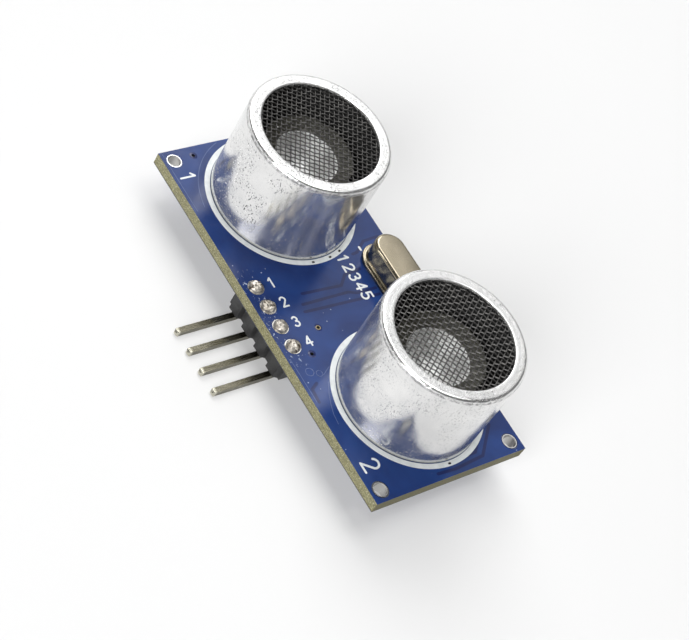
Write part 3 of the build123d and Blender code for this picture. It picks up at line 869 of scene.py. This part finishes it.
# Gaps between copper areas under the front film, seen as darker bands
copper_gaps = [
    [(-1.89, -3.9), (-1.57, 1.19), (-2.69, 2.39), (-2.9, 4.6)],
    [(-0.66, -4.6), (-0.6, 1.46), (-0.2, 2.5), (-0.2, 5.0)],
    [(0.22, -4.89), (0.58, 2.5), (0.62, 5.0)],
    [(18.67, 7.72), (21.6, 4.7), (21.9, 0.68), (21.75, -1.6)],
    [(19.23, 5.94), (20.95, 4.1), (21.1, 0.67)],
    [(8.26, -8.54), (8.73, -9.4), (10.3, -9.55)],
    [(-6.1, 9.3), (-6.0, 7.2), (-4.9, 5.6), (-4.8, 4.9)],
]
shape = Shape()
for line in copper_gaps:
    strip(shape, line, gap_width, gap_height)
shape.piece("front_copper_gaps", ["gap"])

# Raised edges of copper and covered holes, painted a lighter blue as their highlight
can = cans["transmitter"]
copper_edges = [
    [(8.51, -7.16), (9.6, -7.85), (10.84, -8.41), (12.0, -8.8), (13.18, -8.95)],
    arc(can["x"], can["y"], can["radius"] + trace_ring, 201, 262, 30),
    [(7.61, -7.21), (7.3, -6.7), (6.91, -6.02)],
    [(4.9, edge_trace_y), (10.2, edge_trace_y)],
    [(-22.2, edge_trace_y), (-14.5, edge_trace_y)],
]
covered_holes = ((6.85, -8.54, 0.46), (7.32, -7.57, 0.36))
shape = Shape()
for line in copper_edges:
    strip(shape, line, ridge_width, ridge_height)
for x, y, radius in covered_holes:
    ridge = arc(radius, mask_top, ridge_round, 180, 0, 6)
    ridge += [(radius + ridge_round, mask_top - sink), (radius - ridge_round, mask_top - sink)]
    lathe(shape, x, y, ridge, ridge_turns)
shape.piece("front_copper_edges", ["ridge"])

# Vias: a bore painted near black as shade, with its pads under the film, and a thin gold rim on one of them
GOLD, FILM, BORE = 0, 1, 2
vias = ((2.36, -4.52, via_rim), (5.0, -7.05, via_bore), (board_low.x + via_edge_inset, -6.3, via_bore))
shape = Shape()
for x, y, rim in vias:
    barrel = [(via_bore, mask_bottom), (via_bore, mask_top)]
    lathe(shape, x, y, barrel, via_turns, closed=False, kind=lambda radius, z: BORE)
    for level, skin in ((mask_top, mask_top + via_film), (mask_bottom, mask_bottom - via_film)):
        cover = [(rim, level), (via_cover, level), (via_cover - via_film_slope, skin), (rim, skin)]
        lathe(shape, x, y, cover, via_turns, kind=lambda radius, z: FILM)
        if rim > via_bore:
            gold = [(via_bore, level), (rim, level), (rim, skin), (via_bore, skin)]
            lathe(shape, x, y, gold, via_turns, kind=lambda radius, z: GOLD)
shape.piece("via_barrels", ["gold", "gap", "hole"], ["via_plating"])


# Finishes of the nodes that are carried over, by name and otherwise by the name's ending
node_finishes = {
    "circuit_board": "laminate",
    "front_solder_mask": "blue",
    "back_solder_mask": "blue",
    "board_print": "ink",
    "header_housing": "header",
    "mounting_hole_plating": "mounting plating",
    "surface_pads": "tin",
    "crystal_leads": "terminal",
    "transistor_body": "chip",
    "transistor_leads": "lead",
    "resistor_bodies": "resistor",
    "resistor_end_caps": "lead",
    "capacitor_bodies": "capacitor",
    "capacitor_end_caps": "lead",
}
for index in range(len(pin_places)):
    node_finishes[f"header_pin_{index + 1}"] = "pin"
endings = {
    "_plating": "plating",
    "_chip": "chip",
    "_chip_leads": "lead",
    "_base": "base",
    "_glue_ring": "glue",
    "_metal_plate": "plate",
    "_piezo_disc": "piezo",
    "_terminals": "terminal",
    "_lead_wires": "copper",
    "_solder": "solder",
}
for name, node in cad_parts.items():
    by_ending = next((key for ending, key in endings.items() if name.endswith(ending)), None)
    key = node_finishes.get(name, by_ending)
    if key:
        node.data.materials.clear()
        node.data.materials.append(finishes[key].material)
        node.data.polygons.foreach_set("use_smooth", [True] * len(node.data.polygons))


# Floor: pale, and brighter far away, where the lamps no longer reach
floor_reach = 2.5
floor_z = cad_box[0][2]
glow_from, glow_full = 250.0, 1500.0
glow_near, glow_far = 0.21, 0.80
pale = Finish("floor_pale", (0.54, 0.54, 0.54), 0.8, Emission_Color=(1.0, 1.0, 1.0, 1.0))
pale.colour(pale.mix(pale.noise(0.01, 3.0), (0.53, 0.53, 0.53), (0.55, 0.55, 0.55)))
from_part = pale.distance(pale.axis("X"), pale.axis("Y"))
glow = pale.range(from_part, glow_from, glow_full, glow_near, glow_far)
pale.links.new(glow, pale.shader.inputs["Emission Strength"])
corners = [(-1, -1), (1, -1), (1, 1), (-1, 1)]
floor_mesh = bpy.data.meshes.new("floor")
floor_mesh.from_pydata([(x * floor_reach, y * floor_reach, floor_z) for x, y in corners], [], [[0, 1, 2, 3]])
floor_mesh.materials.append(pale.material)
floor = bpy.data.objects.new("floor", floor_mesh)
bpy.context.scene.collection.objects.link(floor)


# Lamps and world
def direction(azimuth, elevation):
    a, e = math.radians(azimuth), math.radians(elevation)
    return Vector((math.cos(a) * math.cos(e), math.sin(a) * math.cos(e), math.sin(e)))


def softbox(name, azimuth, elevation, distance, size, radiance):
    """A square lamp that faces the part; radiance 1 looks white."""
    data = bpy.data.lights.new(name, "AREA")
    data.shape = "SQUARE"
    data.size = size
    data.energy = radiance * math.pi * size * size
    lamp = bpy.data.objects.new(name, data)
    way = direction(azimuth, elevation)
    lamp.location = way * distance
    lamp.rotation_mode = "QUATERNION"
    lamp.rotation_quaternion = way.to_track_quat("Z", "Y")
    bpy.context.scene.collection.objects.link(lamp)


softbox("key", azimuth=160, elevation=45, distance=1.25, size=0.80, radiance=4.6)
softbox("top", azimuth=110, elevation=80, distance=1.25, size=0.70, radiance=4.5)
softbox("cone_fill", azimuth=-72, elevation=31, distance=1.10, size=0.52, radiance=11.5)

world = bpy.data.worlds.new("studio")
world.use_nodes = True
bpy.context.scene.world = world
nodes, links = world.node_tree.nodes, world.node_tree.links
window_way = direction(azimuth=132, elevation=45)
window_level = 1.42
room_level = 0.12
horizon_level = 1.0


def smooth_range(value, low, high, out_low, out_high):
    node = nodes.new("ShaderNodeMapRange")
    node.interpolation_type = "SMOOTHSTEP"
    for socket, number in zip(
        ("From Min", "From Max", "To Min", "To Max"), (low, high, out_low, out_high)
    ):
        node.inputs[socket].default_value = number
    links.new(value, node.inputs["Value"])
    return node.outputs["Result"]


# A dim room with a bright window behind the part and a white horizon
place = nodes.new("ShaderNodeTexCoord").outputs["Generated"]
facing = nodes.new("ShaderNodeVectorMath")
facing.operation = "DOT_PRODUCT"
facing.inputs[1].default_value = window_way
links.new(place, facing.inputs[0])
window = smooth_range(facing.outputs["Value"], 0.94, 0.998, room_level, window_level)
height = nodes.new("ShaderNodeSeparateXYZ")
links.new(place, height.inputs["Vector"])
horizon = smooth_range(height.outputs["Z"], 0.10, 0.40, horizon_level, room_level)
brighter = nodes.new("ShaderNodeMath")
brighter.operation = "MAXIMUM"
links.new(window, brighter.inputs[0])
links.new(horizon, brighter.inputs[1])
links.new(brighter.outputs["Value"], nodes["Background"].inputs["Strength"])
nodes["Background"].inputs["Color"].default_value = (1.0, 1.0, 1.0, 1.0)

# Camera at the photograph's viewing angle
camera_place = Vector((71.0081, -120.3443, 144.7471)) * MM
camera_right = Vector((0.50772493, 0.76576116, 0.39474706))
camera_down = Vector((0.78927207, -0.22977277, -0.56943312))
camera_forward = Vector((-0.34534764, 0.60067822, -0.72105526))
camera_turn = Matrix((camera_right, -camera_down, -camera_forward)).transposed()
camera_data = bpy.data.cameras.new("camera")
camera_data.sensor_width = 36.0
camera_data.lens = 100.03
camera_data.clip_start = 0.005
camera_data.clip_end = 20.0
camera = bpy.data.objects.new("camera", camera_data)
camera.matrix_world = Matrix.Translation(camera_place) @ camera_turn.to_4x4()
bpy.context.scene.collection.objects.link(camera)
bpy.context.scene.camera = camera
bpy.context.scene.view_settings.view_transform = "Standard"
